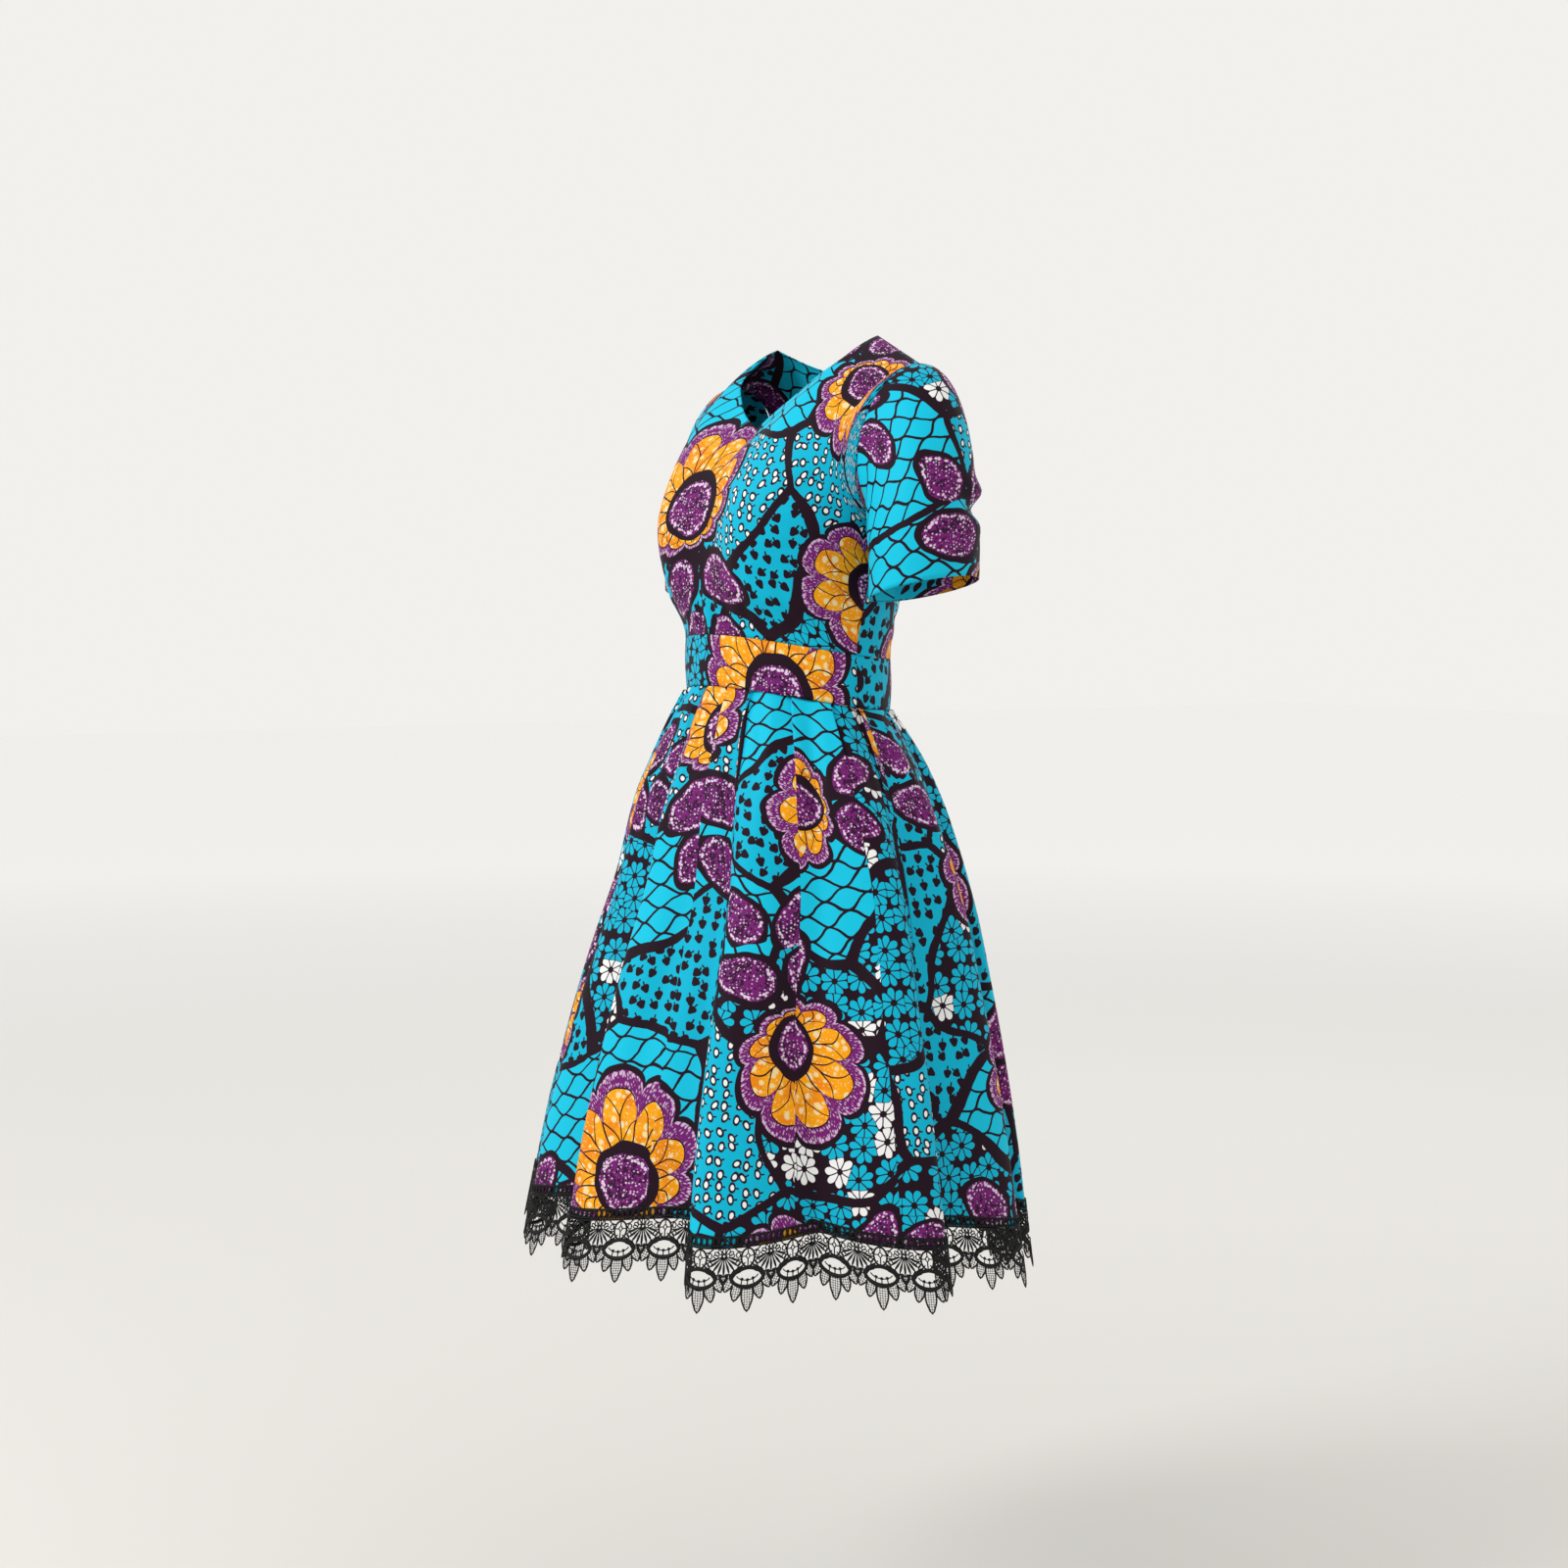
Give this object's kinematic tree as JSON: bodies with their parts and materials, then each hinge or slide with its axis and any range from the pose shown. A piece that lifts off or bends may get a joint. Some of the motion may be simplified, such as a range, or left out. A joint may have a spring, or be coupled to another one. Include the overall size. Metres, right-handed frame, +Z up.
{
  "type": "ankara wax print dress",
  "caption": "Knee-length fit-and-flare dress in printed cotton with scoop neck, short sleeves, set-in waistband, pleated skirt and a lace border, held in its worn form.",
  "frame": {"origin": "midway between the two shoulder seams, where the wearer's shoulders hold the dress", "axes": "+Z up along the body, -Y to the front, +X to the wearer's left"},
  "size_m": [0.5718, 0.5158, 0.9496],
  "materials": {
    "print_cotton": "wax-printed cotton, crisp, with a slight sheen",
    "lace_thread": "matt black corded lace thread",
    "zip_metal": "lacquered zip slider and pull"
  },
  "bodies": {
    "dress": {"bodice_front": "print_cotton", "bodice_back_left": "print_cotton", "bodice_back_right": "print_cotton", "sleeve_left": "print_cotton", "sleeve_right": "print_cotton", "waistband_front": "print_cotton", "waistband_back_left": "print_cotton", "waistband_back_right": "print_cotton", "skirt_front": "print_cotton", "skirt_back_left": "print_cotton", "skirt_back_right": "print_cotton", "lace_front": "lace_thread", "lace_back": "lace_thread", "zip_slider": "zip_metal"},
    "pull_tab": {"zip_pull": "zip_metal"}
  },
  "joints": [
    {"name": "pull_tab_swing", "type": "hinge", "parent": "dress", "child": "pull_tab", "pos_m": [0, 0.07011, -0.02151], "axis": [1, 0, 0], "range_deg": [0, 150]}
  ]
}
